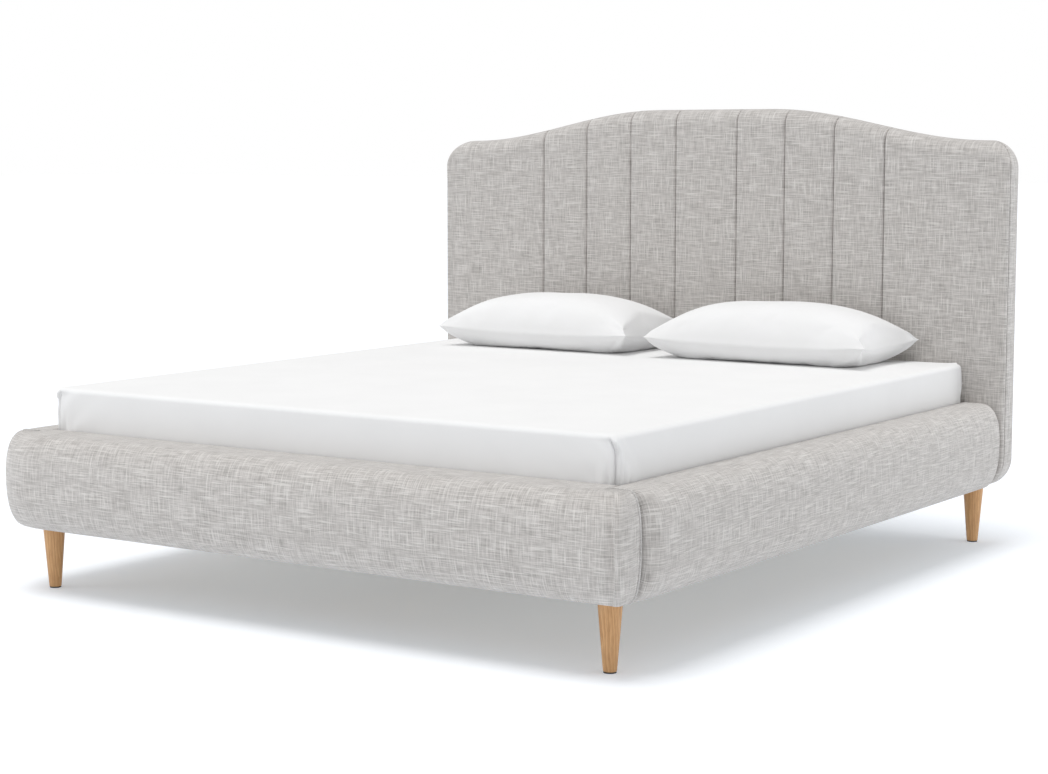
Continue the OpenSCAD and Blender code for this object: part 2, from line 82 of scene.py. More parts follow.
SHOULDER_DROP = 0.100
CROWN_FLAT = 0.200
TOP_R = 0.086
BOTTOM_R = 0.090
BULGE = 0.066
FOOT_EDGE = FOOT_FRONT + BULGE
SIDE_EDGE = SIDE_OUT - BULGE

# ---------- upholstery ----------

TOP_ROLL_H, TOP_ROLL_D = 0.050, 0.060
SIDE_ROLL = 0.009
ROLL_POWER = 2.2
ROLL_ROWS = 12
SEAM_ROUND = 0.009
SEAM_DEPTH = 0.009
SEAM_GAP = 0.0004
NEAR_SEAM = [0.0, 0.0004, 0.0012, 0.0026, 0.0047, 0.0085, 0.014, 0.022]
CLEAR_OF_SEAM = 0.035
LAP = 0.01
SKIN = 0.0005
WELT_R = 0.0016
WELT_GAP, WELT_SUNK = 0.0085, 0.0060


# ---------- meshes ----------

def smoothstep(t):
    t = np.clip(t, 0.0, 1.0)
    return t * t * (3 - 2 * t)


def add(name, data):
    """A new object in the scene."""
    made = bpy.data.objects.new(name, data)
    bpy.context.scene.collection.objects.link(made)
    return made


def build(name, verts, faces, threads=None):
    """A smooth mesh, its normals outward; threads is where each point lies on the cloth, in metres."""
    mesh = bpy.data.meshes.new(name)
    mesh.from_pydata([tuple(map(float, v)) for v in verts], [], faces)
    if threads is not None:
        layer = mesh.attributes.new("threads", "FLOAT_VECTOR", "POINT")
        layer.data.foreach_set("vector", np.asarray(threads, np.float32).ravel())
    solid = bmesh.new()
    solid.from_mesh(mesh)
    bmesh.ops.recalc_face_normals(solid, faces=solid.faces)
    solid.to_mesh(mesh)
    solid.free()
    mesh.shade_smooth()
    mesh.set_sharp_from_angle(angle=math.radians(50))
    return add(name, mesh)


def grid_faces(rows, cols):
    """Quads of a grid whose points are numbered row by row."""
    return [(i * cols + j, i * cols + j + 1, (i + 1) * cols + j + 1, (i + 1) * cols + j)
            for i in range(rows - 1) for j in range(cols - 1)]


def loft(name, rings, threads=None, closed_path=False):
    """Joins closed rings of points into one skin, with both ends closed or, on a closed path, joined."""
    rings = np.asarray(rings, float)
    stations, points = rings.shape[:2]
    faces = []
    for s in range(stations if closed_path else stations - 1):
        a, b = s * points, (s + 1) % stations * points
        for p in range(points):
            q = (p + 1) % points
            faces.append((a + p, a + q, b + q, b + p))
    if not closed_path:
        faces.append(tuple(range(points)))
        faces.append(tuple(range((stations - 1) * points, stations * points)))
    flat = None if threads is None else np.asarray(threads, float).reshape(-1, 3)
    return build(name, rings.reshape(-1, 3), faces, flat)


def quarter(steps):
    """Sine and cosine at even steps through a right angle."""
    turns = [math.pi / 2 * i / steps for i in range(steps + 1)]
    return [(math.sin(t), math.cos(t)) for t in turns]


def arc_lengths(points):
    """Length along a row of points at each of them, from zero."""
    steps = np.linalg.norm(np.diff(np.asarray(points, float), axis=0), axis=1)
    return np.concatenate([[0.0], np.cumsum(steps)])


def tube(name, path, radius, closed_path=False):
    """A round welt along a path; rings are square to it."""
    path = np.asarray(path, float)
    if closed_path:
        ahead, behind = np.roll(path, -1, 0), np.roll(path, 1, 0)
    else:
        ahead = np.vstack([path[1:], 2 * path[-1] - path[-2]])
        behind = np.vstack([2 * path[0] - path[1], path[:-1]])
    along = ahead - behind
    along /= np.linalg.norm(along, axis=1)[:, None]
    side = np.cross(along, (0.0, 1.0, 0.001))
    side /= np.linalg.norm(side, axis=1)[:, None]
    up = np.cross(side, along)
    turn = np.linspace(0, 2 * math.pi, 10, endpoint=False)
    rings = (path[:, None] + radius * (np.cos(turn)[None, :, None] * side[:, None]
                                       + np.sin(turn)[None, :, None] * up[:, None]))
    run = arc_lengths(path)
    threads = np.zeros(rings.shape)
    threads[:, :, 0] = run[:, None]
    threads[:, :, 1] = (radius * turn)[None, :]
    return loft(name, rings, threads, closed_path)


def dress(piece, material, body="frame", replaces=()):
    """Gives a piece its material, its place in the frame and what it stands for."""
    piece.data.materials.clear()
    piece.data.materials.append(material)
    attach(piece, body)
    if replaces:
        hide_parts(*replaces)
    return piece


# ---------- materials ----------

class Nodes:
    """A short way to write a node material."""

    def __init__(self, name):
        self.material = bpy.data.materials.new(name)
        self.material.use_nodes = True
        self.tree = self.material.node_tree
        self.shader = self.tree.nodes["Principled BSDF"]

    def node(self, kind, **settings):
        made = self.tree.nodes.new("ShaderNode" + kind)
        for key, value in settings.items():
            setattr(made, key, value)
        return made

    def link(self, source, target):
        self.tree.links.new(source, target)

    def feed(self, socket, value):
        """Links an output to a socket, or sets the socket to a plain value."""
        if isinstance(value, bpy.types.NodeSocket):
            self.link(value, socket)
        else:
            socket.default_value = value

    def math(self, operation, a, b=0.0):
        made = self.node("Math", operation=operation)
        self.feed(made.inputs[0], a)
        self.feed(made.inputs[1], b)
        return made.outputs[0]

    def span(self, value, from_low, from_high, to_low=0.0, to_high=1.0):
        made = self.node("MapRange", clamp=True)
        for socket, v in zip(made.inputs, (value, from_low, from_high, to_low, to_high)):
            self.feed(socket, v)
        return made.outputs[0]

    def mix(self, share, a, b):
        made = self.node("Mix", data_type="RGBA")
        self.feed(made.inputs[0], share)
        self.feed(made.inputs[6], a)
        self.feed(made.inputs[7], b)
        return made.outputs[2]

    def stretch(self, vector, scale, offset=(0.0, 0.0, 0.0)):
        made = self.node("Mapping")
        self.link(vector, made.inputs["Vector"])
        made.inputs["Scale"].default_value = scale
        made.inputs["Location"].default_value = offset
        return made.outputs[0]

    def cloud(self, vector, scale=1.0, detail=2.0, rough=0.5, distortion=0.0):
        made = self.node("TexNoise")
        self.link(vector, made.inputs["Vector"])
        values = {"Scale": scale, "Detail": detail, "Roughness": rough, "Distortion": distortion}
        for socket, value in values.items():
            made.inputs[socket].default_value = value
        return made.outputs["Fac"]

    def bump(self, height, strength, distance, normal=None):
        made = self.node("Bump")
        made.inputs["Strength"].default_value = strength
        made.inputs["Distance"].default_value = distance
        self.link(height, made.inputs["Height"])
        if normal is not None:
            self.link(normal, made.inputs["Normal"])
        return made.outputs[0]

    def object_place(self):
        return self.node("TexCoord").outputs["Object"]

    def upright_place(self):
        made = self.node("Mapping")
        self.link(self.object_place(), made.inputs["Vector"])
        made.inputs["Rotation"].default_value = (math.radians(-90), 0.0, 0.0)
        return made.outputs[0]

    def cloth_place(self):
        return self.node("Attribute", attribute_name="threads").outputs["Vector"]

    def set(self, **values):
        for key, value in values.items():
            self.shader.inputs[key.replace("_", " ")].default_value = value

    def surface(self, colour, rough, normal):
        """Links what makes the surface uneven: its colour, roughness and relief."""
        for socket, output in (("Base Color", colour), ("Roughness", rough), ("Normal", normal)):
            self.link(output, self.shader.inputs[socket])


def weave_height(n, place, pitch):
    """Plain weave: yarns over and under each other, as a height from 0 to 1."""
    split = n.node("SeparateXYZ")
    n.link(place, split.inputs[0])
    turn = 2 * math.pi / pitch
    across = n.math("SINE", n.math("MULTIPLY", split.outputs[0], turn))
    along = n.math("SINE", n.math("MULTIPLY", split.outputs[1], turn))
    return n.span(n.math("MULTIPLY", across, along), -1.0, 1.0)


def linen_material(name, dark, light, slub_colour, upright=False):
    """Coarse linen-look cloth: fine weave, uneven yarns both ways and pale slubs.
    upright cloth hangs flat in X and Z, and needs no thread places of its own."""
    n = Nodes(name)
    place = n.upright_place() if upright else n.cloth_place()
    weft = n.cloud(n.stretch(place, (15, 330, 1)), 1.0, 3.0, 0.6)
    warp = n.cloud(n.stretch(place, (330, 17, 1), (7.3, 2.1, 5.0)), 1.0, 3.0, 0.6)
    blotch = n.cloud(n.stretch(place, (60, 60, 1), (1.7, 9.2, 0)), 1.0, 3.0, 0.6)
    fine = weave_height(n, place, 0.0026)
    weft = n.span(weft, 0.34, 0.66)
    warp = n.span(warp, 0.34, 0.66)
    yarns = n.math("ADD", n.math("MULTIPLY", weft, 0.45), n.math("MULTIPLY", warp, 0.37))
    tone = n.math("ADD", yarns, n.math("MULTIPLY", n.span(blotch, 0.35, 0.65), 0.10))
    tone = n.math("ADD", tone, n.math("MULTIPLY", fine, 0.08))
    base = n.mix(n.span(tone, 0.12, 0.88), dark, light)
    long_weft = n.cloud(n.stretch(place, (13, 290, 1), (3.1, 4.4, 2.0)), 1.0, 1.0)
    long_warp = n.cloud(n.stretch(place, (290, 14, 1), (8.8, 1.4, 3.0)), 1.0, 1.0)
    slub = n.math("MAXIMUM", n.span(long_weft, 0.55, 0.67), n.span(long_warp, 0.57, 0.69))
    colour = n.mix(n.math("MULTIPLY", slub, 0.48), base, slub_colour)
    height = n.math("ADD", yarns, n.math("MULTIPLY", slub, 0.4))
    height = n.math("ADD", height, n.math("MULTIPLY", fine, 0.5))
    n.surface(colour, n.span(tone, 0.2, 0.9, 0.96, 0.82), n.bump(height, 0.8, 0.0009))
    n.set(Sheen_Weight=0.45, Sheen_Roughness=0.4, Specular_IOR_Level=0.2)
    return n.material


def cotton_material(name, colour, shade, crease=0.0):
    """Smooth white percale: a very fine grain, and faint uneven whiteness."""
    n = Nodes(name)
    place = n.object_place()
    drift = n.cloud(place, 6.0, 3.0, 0.55)
    grain = n.cloud(place, 900.0, 1.0)
    soft = n.cloud(n.stretch(place, (9, 9, 9)), 1.0, 2.0, 0.5, 0.6)
    normal = n.bump(soft, crease, 0.012) if crease else None
    n.surface(n.mix(n.span(drift, 0.3, 0.7), shade, colour), n.span(grain, 0.2, 0.8, 0.95, 0.8),
              n.bump(grain, 0.15, 0.0003, normal))
    n.set(Sheen_Weight=0.12, Sheen_Roughness=0.4, Specular_IOR_Level=0.25)
    return n.material


def wood_material(name, pale, mid, dark, axis, gloss, ring_scale=1.0):
    """Timber with grain along one axis: long fibres, growth bands and short pores."""
    n = Nodes(name)
    place = n.object_place()
    along = [16.0 * ring_scale] * 3
    along[axis] *= 0.09
    fibre = [260.0] * 3
    fibre[axis] *= 0.03
    pore = [700.0] * 3
    pore[axis] *= 0.05
    bands = n.node("TexWave", wave_type="BANDS", bands_direction="DIAGONAL", wave_profile="SAW")
    n.link(n.stretch(place, along), bands.inputs["Vector"])
    for socket, value in {"Scale": 1.6, "Distortion": 5.5, "Detail": 3.0, "Detail Scale": 1.3}.items():
        bands.inputs[socket].default_value = value
    fibres = n.cloud(n.stretch(place, fibre), 1.0, 3.0, 0.6)
    pores = n.cloud(n.stretch(place, pore), 1.0, 1.0)
    first = n.mix(n.span(bands.outputs["Fac"], 0.1, 0.95), pale, mid)
    second = n.mix(n.span(fibres, 0.35, 0.75, 0.0, 0.55), first, dark)
    third = n.mix(n.span(pores, 0.66, 0.74, 0.0, 0.5), second, dark)
    relief = n.math("SUBTRACT", fibres, n.span(pores, 0.64, 0.74))
    n.surface(third, n.span(fibres, 0.3, 0.7, gloss, gloss + 0.14), n.bump(relief, 0.25, 0.0003))
    n.set(Specular_IOR_Level=0.4)
    return n.material


def hard_material(name, dark, light, grain, drift, rough, relief, metallic=0.0):
    """Metal or plastic: a fine grain that roughens it, and a slow drift of tone."""
    n = Nodes(name)
    place = n.object_place()
    fine = n.cloud(n.stretch(place, grain), 1.0, 2.0)
    slow = n.cloud(place, drift, 3.0)
    n.surface(n.mix(n.span(slow, 0.3, 0.7), dark, light), n.span(fine, 0.3, 0.7, *rough),
              n.bump(fine, relief, 0.0002))
    n.set(Metallic=metallic)
    return n.material


LINEN = linen_material("linen_weave", (0.34, 0.321, 0.304, 1), (0.68, 0.650, 0.625, 1),
                       (0.80, 0.78, 0.75, 1))
PIPING = linen_material("linen_piping", (0.44, 0.43, 0.415, 1), (0.68, 0.665, 0.65, 1),
                        (0.78, 0.77, 0.75, 1))
SHEET = cotton_material("sheet_percale", (0.83, 0.83, 0.83, 1), (0.81, 0.81, 0.81, 1))
PILLOW = cotton_material("pillow_percale", (0.83, 0.83, 0.835, 1), (0.80, 0.80, 0.80, 1), 0.12)
TICKING = cotton_material("mattress_ticking", (0.80, 0.80, 0.78, 1), (0.72, 0.72, 0.70, 1))
BACK_CLOTH = linen_material("back_cloth", (0.36, 0.345, 0.33, 1), (0.56, 0.54, 0.52, 1),
                            (0.68, 0.66, 0.64, 1), upright=True)
OAK = wood_material("oiled_oak", (0.70, 0.42, 0.20, 1), (0.56, 0.30, 0.125, 1),
                    (0.34, 0.16, 0.06, 1), 2, 0.38, 2.2)
PINE = [wood_material(f"pine_{'xyz'[axis]}", (0.72, 0.52, 0.29, 1), (0.62, 0.41, 0.20, 1),
                      (0.44, 0.25, 0.11, 1), axis, 0.55) for axis in range(3)]
BIRCH = wood_material("birch_x", (0.76, 0.62, 0.42, 1), (0.70, 0.53, 0.33, 1),
                      (0.52, 0.36, 0.20, 1), 0, 0.42, 0.7)
STEEL = hard_material("zinc_steel", (0.50, 0.51, 0.53, 1), (0.63, 0.64, 0.65, 1),
                      (900, 900, 60), 70.0, (0.28, 0.45), 0.1, 1.0)
PLASTIC = hard_material("black_plastic", (0.018, 0.018, 0.019, 1), (0.032, 0.032, 0.034, 1),
                        (900, 900, 900), 60.0, (0.42, 0.6), 0.2)


def upholster(piece, pad):
    """Linen over padding, in place of the CAD's soft solid."""
    dress(piece, LINEN, replaces=[pad])


# ---------- headboard ----------

def crown(x):
    """Height of the headboard's outline at a distance from its centre line."""
    ease = np.clip((np.abs(x) - CROWN_FLAT) / (HB_X - TOP_R - 0.002 - CROWN_FLAT), 0, 1)
    return HB_TOP - SHOULDER_DROP * (1 - np.cos(np.pi * ease)) / 2


class Station:
    """A place on the outline: its point in X and Z, the way out, and 0 for the side to 1 for the top."""

    def __init__(self, point, out, top):
        self.point, self.out, self.top = np.array(point), np.array(out), top
        self.roll_h = SIDE_ROLL + (TOP_ROLL_H - SIDE_ROLL) * top
        self.roll_d = SIDE_ROLL + (TOP_ROLL_D - SIDE_ROLL) * top

    def at(self, inward, y):
        x, z = self.point - self.out * inward
        return (x, y, z)


def corner_stations(centre_x, centre_z, radius, start, end, steps, top):
    found = []
    for i in range(steps + 1):
        turn = math.radians(start + (end - start) * i / steps)
        way = (math.cos(turn), math.sin(turn))
        share = float(smoothstep(i / steps)) if top else 0.0
        found.append(Station((centre_x + radius * way[0], centre_z + radius * way[1]), way, share))
    return found


def foot_run(xs):
    return [Station((x, HB_LOW), (0.0, -1.0), 0.0) for x in xs]


def side_run(steps):
    heights = np.linspace(HB_LOW + BOTTOM_R, HB_TOP - SHOULDER_DROP - TOP_R, steps + 1)
    return [Station((HB_X, z), (1.0, 0.0), 0.0) for z in heights]


def crown_run(xs):
    return [Station((x, float(crown(x))), (0.0, 1.0), 1.0) for x in xs]


def bottom_corner(steps):
    return corner_stations(HB_X - BOTTOM_R, HB_LOW + BOTTOM_R, BOTTOM_R, -90, 0, steps, False)


def top_corner(steps):
    shoulder = HB_TOP - SHOULDER_DROP
    return corner_stations(HB_X - TOP_R, shoulder - TOP_R, TOP_R, 0, 90, steps, True)


def seam_inset(x, seams):
    """How deep the cloth is pulled in near a seam, from 0 to 1."""
    nearest = min(abs(abs(x) - abs(s)) for s in seams)
    near = max(0.0, 1 - nearest / SEAM_ROUND)
    return 1 - math.sqrt(1 - near * near)


def roll_points(station, pull):
    """The rolled edge at a station, from the flat front out to the outline: points and cloth lengths."""
    points, run = [], [0.0]
    for i in range(1, ROLL_ROWS + 1):
        turn = math.pi / 2 * i / ROLL_ROWS
        reach = math.sin(turn) ** (2 / ROLL_POWER)
        ahead = math.cos(turn) ** (2 / ROLL_POWER) if i < ROLL_ROWS else 0.0
        normal = np.array([reach / station.roll_h, ahead / station.roll_d])
        normal /= np.linalg.norm(normal)
        fade = 1 - 0.8 * float(smoothstep((1 - ahead) * station.roll_d / 0.03))
        pulled = pull * SEAM_DEPTH * fade
        inward = station.roll_h * (1 - reach) + normal[0] * pulled
        y = HB_FRONT + station.roll_d * (1 - ahead) + normal[1] * pulled
        points.append(station.at(inward, y))
        step = math.hypot(station.roll_h * reach, station.roll_d * (1 - ahead))
        run.append(max(run[-1], step))
    return points, run[1:]


def inner_points(station):
    """The pad's hidden side at a station: behind the rolled edge, over the panel and down its front."""
    edge = HB_WOOD_INSET - SKIN
    panel_edge = HB_PANEL_INSET - SKIN
    front, back = HB_PANEL_FRONT - SKIN, HB_PANEL_BACK + SKIN
    y = HB_FRONT + station.roll_d
    over = front + (back - front) * station.top
    return [station.at(edge, y), station.at(edge, over),
            station.at(panel_edge, over), station.at(panel_edge, front)]


def seam_columns(left, right):
    """Distances across a pad: close together near its two seams."""
    middle = np.linspace(CLEAR_OF_SEAM, (right - left) - CLEAR_OF_SEAM, 5)
    return ([left + n for n in NEAR_SEAM] + [left + m for m in middle]
            + [right - n for n in NEAR_SEAM[::-1]])


def sag(x, z):
    """A faint unevenness of padding under cloth."""
    return 0.0005 * noise.noise(Vector((x * 7.0, 3.3, z * 7.0)))


def channel_pad(index, left, right):
    """One channel: flat in front, rounded into its seams, and rolled back over the crown."""
    rings, threads = [], []
    flat_rows = 44
    for x in seam_columns(left, right):
        foot, head = foot_run([x])[0], crown_run([x])[0]
        pull = seam_inset(x, (left, right))
        down, down_run = roll_points(foot, pull)
        up, up_run = roll_points(head, pull)
        full = 0.0018 * (1 - ((2 * x - left - right) / (right - left)) ** 2)
        z_low, z_high = HB_LOW + foot.roll_h, crown(x) - head.roll_h
        flat = []
        for z in np.linspace(z_low, z_high, flat_rows):
            ends = float(smoothstep((z - z_low) / 0.05) * smoothstep((z_high - z) / 0.05))
            flat.append((x, HB_FRONT + pull * SEAM_DEPTH - (full + sag(x, z)) * ends, z))
        ring = inner_points(foot)[::-1] + down[::-1] + flat + up + inner_points(head)
        lengths = ([z_low - down_run[-1] - LAP] * 4 + [z_low - r for r in down_run[::-1]]
                   + [p[2] for p in flat] + [z_high + r for r in up_run]
                   + [z_high + up_run[-1] + LAP] * 4)
        rings.append(ring)
        threads.append([(x, r, 0.0) for r in lengths])
    return loft(f"channel_cover_{index}", rings, threads)


def side_pad(side):
    """The plain panel beside the channels, with its rounded corners."""
    seam = CHANNEL_SEAMS[-1] + 2 * SEAM_GAP
    half_arc, arc = 8, 16

    def across(radius):
        plain = np.linspace(seam + CLEAR_OF_SEAM, HB_X - radius, 14)[:-1]
        return [seam + n for n in NEAR_SEAM] + list(plain)

    foot = foot_run(across(BOTTOM_R)) + bottom_corner(arc)[:half_arc + 1]
    right = bottom_corner(arc)[half_arc:-1] + side_run(36) + top_corner(arc)[1:half_arc + 1]
    head = crown_run(across(TOP_R)) + top_corner(arc)[half_arc:][::-1]
    ring = foot + right[1:-1] + head[::-1]

    def inner_edge(stations):
        return np.array([s.point - s.out * s.roll_h for s in stations])

    bottom, edge, top = inner_edge(foot), inner_edge(right), inner_edge(head)
    foot_share, head_share, vs = (arc_lengths(e) / arc_lengths(e)[-1] for e in (bottom, top, edge))
    us = (foot_share + head_share) / 2
    grid = np.zeros((len(vs), len(us), 2))
    for i, v in enumerate(vs):
        left = bottom[0] + (top[0] - bottom[0]) * v
        for j, u in enumerate(us):
            ruled = (1 - v) * bottom[j] + v * top[j] + (1 - u) * left + u * edge[i]
            corners = ((1 - u) * (1 - v) * bottom[0] + u * (1 - v) * bottom[-1]
                       + (1 - u) * v * top[0] + u * v * top[-1])
            grid[i, j] = ruled - corners
    verts, threads = [], []
    rows, cols = grid.shape[:2]
    for i in range(rows):
        for j in range(cols):
            x, z = grid[i, j]
            border = min(i, rows - 1 - i, cols - 1 - j)
            lift = sag(x, z) if border > 1 else 0.0
            verts.append((x, HB_FRONT + seam_inset(x, (seam,)) * SEAM_DEPTH - lift, z))
            threads.append((x, z, 0.0))
    faces = grid_faces(rows, cols)
    at = np.arange(rows * cols).reshape(rows, cols)
    rim = at[0].tolist() + at[1:-1, -1].tolist() + at[-1, ::-1].tolist()
    strips = []
    for station, start in zip(ring, rim):
        rolled, run = roll_points(station, seam_inset(verts[start][0], (seam,)))
        run = run + [run[-1] + LAP] * 4
        points = rolled + inner_points(station)
        strip = [start]
        base = np.array(threads[start][:2])
        for point, r in zip(points, run):
            strip.append(len(verts))
            verts.append(point)
            threads.append((*(base + station.out * r), 0.0))
        strips.append(strip)
    for a, b in zip(strips[:-1], strips[1:]):
        faces += [(a[k], b[k], b[k + 1], a[k + 1]) for k in range(len(a) - 1)]
    faces.append(tuple(s[-1] for s in strips))
    faces.append(tuple(strips[0][:0:-1] + at[:, 0].tolist() + strips[-1][1:]))
    verts = [(side * x, y, z) for x, y, z in verts]
    threads = [(side * x, z, 0.0) for x, z, _ in threads]
    return build(f"side_cover_{'right' if side > 0 else 'left'}", verts, faces, threads)


def whole_outline():
    """Stations all the way round the headboard, from the middle of its foot and back to it."""
    foot = foot_run(np.arange(0.0, HB_X - BOTTOM_R, 0.03))
    arc = 24
    top = crown_run(np.arange(HB_X - TOP_R, 0.0, -0.012))
    right = foot + bottom_corner(arc)[:-1] + side_run(40)[:-1] + top_corner(arc)[:-1] + top
    crest = crown_run([0.0])
    left = []
    for s in right[:0:-1]:
        left.append(Station((-s.point[0], s.point[1]), (-s.out[0], s.out[1]), s.top))
    return right + crest + left


def headboard_border():
    """The band of cloth round the headboard's edge, behind the welt, with a soft back edge."""
    rings, threads = [], []
    stations = whole_outline()
    run = arc_lengths([s.point for s in stations])
    for s, length in zip(stations, run):
        front = HB_FRONT + s.roll_d + WELT_GAP
        soft = min(0.006, (HB_BACK - front) * 0.7)
        outer = [(0.0028, front), (0.0011, front + 0.0005), (0.0003, front + 0.0014)]
        outer += [(0.0, y) for y in np.linspace(front + 0.0026, HB_BACK - soft, 5)]
        outer += [(soft * (1 - cos), HB_BACK - soft + soft * sin) for sin, cos in quarter(4)[1:]]
        inner = [(HB_WOOD_INSET - SKIN, HB_BACK), (HB_WOOD_INSET - SKIN, front)]
        rings.append([s.at(d, y) for d, y in outer + inner])
        threads.append([(length, y + d, 0.0) for d, y in outer + inner])
    return loft("border_cover", rings, threads, closed_path=True)


def headboard_welt():
    path = [s.at(WELT_SUNK, HB_FRONT + s.roll_d + WELT_GAP / 2) for s in whole_outline()]
    return tube("headboard_piping", path, WELT_R, closed_path=True)


def headboard():
    seams = [-x for x in CHANNEL_SEAMS[::-1]] + CHANNEL_SEAMS
    for index, (left, right) in enumerate(zip(seams[:-1], seams[1:]), 1):
        upholster(channel_pad(index, left + SEAM_GAP, right - SEAM_GAP), f"channel_pad_{index}")
    for side, word in ((-1, "left"), (1, "right")):
        upholster(side_pad(side), f"headboard_pad_{word}")
    dress(headboard_border(), LINEN, replaces=["headboard_border"])
    dress(headboard_welt(), PIPING, replaces=["headboard_welt"])


# ---------- rails ----------

def rail_profile(swell):
    """The rail's outer face from underside to top, as (out, height), fullest above the middle."""
    power, belly, rows = 2.5, 0.55, 30
    found = []
    for i in range(rows + 1):
        turn = math.pi * i / rows
        c, s = math.cos(turn), max(0.0, math.sin(turn))
        reach = belly if c > 0 else 1 - belly
        z = RAIL_LOW + RAIL_H * (belly - reach * math.copysign(abs(c) ** (2 / power), c))
        found.append((swell * s ** (2 / power), z))
    return found


SEAM_Y = FOOT_BOARD_BACK + 0.0022
RIDGE_OUT, SEAM_OUT = 0.042, 0.034
ZONE_X = 0.80
NEAR_ROUND, FAR_ROUND = 0.012, 0.140
CREASE, CREASE_IN, CREASE_W = 0.0105, 0.009, 0.010
STRAIGHT, TURN, RETURN = 18, 10, 8
TOP_EDGE_R = 0.004
HEM_H = 0.0045


def corner_plan(full, wide, crease):
    """The foot rail's corner in plan at a height where the face is out by a share full of its bulge:
    the front face, a rounded ridge of radius wide, and the return to the seam."""
    front = FOOT_EDGE - BULGE * full
    ridge, seam = SIDE_EDGE + RIDGE_OUT * full, SIDE_EDGE + SEAM_OUT * full
    deep = min(wide, (SEAM_Y - front) * 0.97)
    found = []
    for t in np.linspace(0, 1, STRAIGHT):
        x = ZONE_X + (ridge - wide - ZONE_X) * (1 - (1 - t) ** 1.8)
        valley = crease * full * math.exp(-((x - ridge + wide + CREASE_IN) / CREASE_W) ** 2)
        found.append((x, front + valley))
    for turn in np.linspace(0, math.pi / 2, TURN)[1:]:
        found.append((ridge - wide + wide * math.sin(turn), front + deep - deep * math.cos(turn)))
    for t in np.linspace(0, 1, RETURN)[1:]:
        x = ridge + (seam - ridge) * t + 0.003 * full * math.sin(math.pi * t)
        found.append((x, front + deep + (SEAM_Y - front - deep) * t))
    return found


def foot_columns(wide, crease):
    """Half the foot rail as columns of outer points, each with the edge point of the top behind it."""
    shares = rail_profile(1.0)
    plans = [corner_plan(full, wide, crease) for full, _ in shares]
    edges = corner_plan(0.0, wide, 0.0)
    columns = []
    for x in np.linspace(0.0, ZONE_X, 40)[:-1]:
        columns.append(((x, FOOT_EDGE), [(x, FOOT_EDGE - BULGE * full, z) for full, z in shares]))
    for k, edge in enumerate(edges):
        columns.append((edge, [(*plan[k], z) for plan, (_, z) in zip(plans, shares)]))
    return columns


def foot_ring(edge, face, inner_y):
    """One closed section of the foot rail's cover: its face, its top, and round the board inside."""
    ex, ey = edge
    below = (min(ex, SIDE_EDGE - 0.012), FOOT_BOARD_BACK)
    wall = (min(ex, SIDE_EDGE - 0.0095), max(ey, FOOT_BOARD_FRONT - SKIN))
    inner = (min(ex, SIDE_INNER), inner_y)
    ring = [(*below, RAIL_LOW + HEM_H), (*below, RAIL_LOW)] + list(face)
    ring.append(((ex + inner[0]) / 2, (ey + inner[1]) / 2, RAIL_TOP))
    toward = np.array(edge) - np.array(inner)
    toward = toward / max(1e-6, np.linalg.norm(toward))
    for sin, cos in quarter(3):
        back = np.array(inner) + toward * TOP_EDGE_R * (1 - sin)
        ring.append((*back, RAIL_TOP - TOP_EDGE_R * (1 - cos)))
    ring += [(*inner, BOARD_TOP + SKIN), (*wall, BOARD_TOP + SKIN), (*wall, RAIL_LOW + HEM_H)]
    return ring


def cloth_lengths(ring, start):
    """Length round a section from its point number start."""
    run = arc_lengths(ring)
    return run - run[start]


def foot_half(side, wide, crease):
    """Sections of one half of the foot rail, from its middle to the corner seam."""
    columns = foot_columns(wide, crease)
    first = next(k for k, (edge, _) in enumerate(columns) if edge[0] >= SIDE_INNER)
    rings = []
    for k, (edge, face) in enumerate(columns):
        ring = foot_ring(edge, face, SEAM_Y if k > first else FOOT_BACK)
        rings.append([(side * x, y, z) for x, y, z in ring])
    return rings


def foot_rail():
    left, right = foot_half(-1, FAR_ROUND, 0.0), foot_half(1, NEAR_ROUND, CREASE)
    rings = left[:0:-1] + right
    fullest = len(rings[0]) // 2 - 2
    run = arc_lengths([ring[fullest] for ring in rings])
    middle = run[len(left) - 1]
    down = cloth_lengths(rings[len(left)], 2)
    threads = [[(length - middle, r, 0.0) for r in down] for length in run]
    upholster(loft("foot_rail_cover", rings, threads), "foot_rail_pad")


SEAM_OPEN, SEAM_SHUT = 0.0125, 0.0030


def side_ring(side, y, swell, shrink):
    """One closed section of a side rail's cover, drawn in all round by shrink where the rail ends."""
    ring = [(BOARD_OUT + SKIN, RAIL_LOW + shrink)]
    for out, z in rail_profile(swell):
        scaled = RAIL_LOW + shrink + (z - RAIL_LOW) * (RAIL_H - 2 * shrink) / RAIL_H
        ring.append((SIDE_EDGE + out - shrink, scaled))
    top = RAIL_TOP - shrink * 0.6
    ring.append(((SIDE_EDGE + SIDE_INNER) / 2, top))
    for sin, cos in quarter(3):
        ring.append((SIDE_INNER + TOP_EDGE_R * (1 - sin), top - TOP_EDGE_R * (1 - cos)))
    under = BOARD_TOP + SKIN - shrink * 0.2
    ring += [(SIDE_INNER, under), (BOARD_OUT + SKIN, under)]
    return [(side * x, y, z) for x, z in ring]


def shut_at(x):
    """How far the corner seam is drawn shut: fully over the rail's top, and not at all over its face."""
    return 1.0 - float(smoothstep((abs(x) - SIDE_EDGE - 0.002) / 0.020))


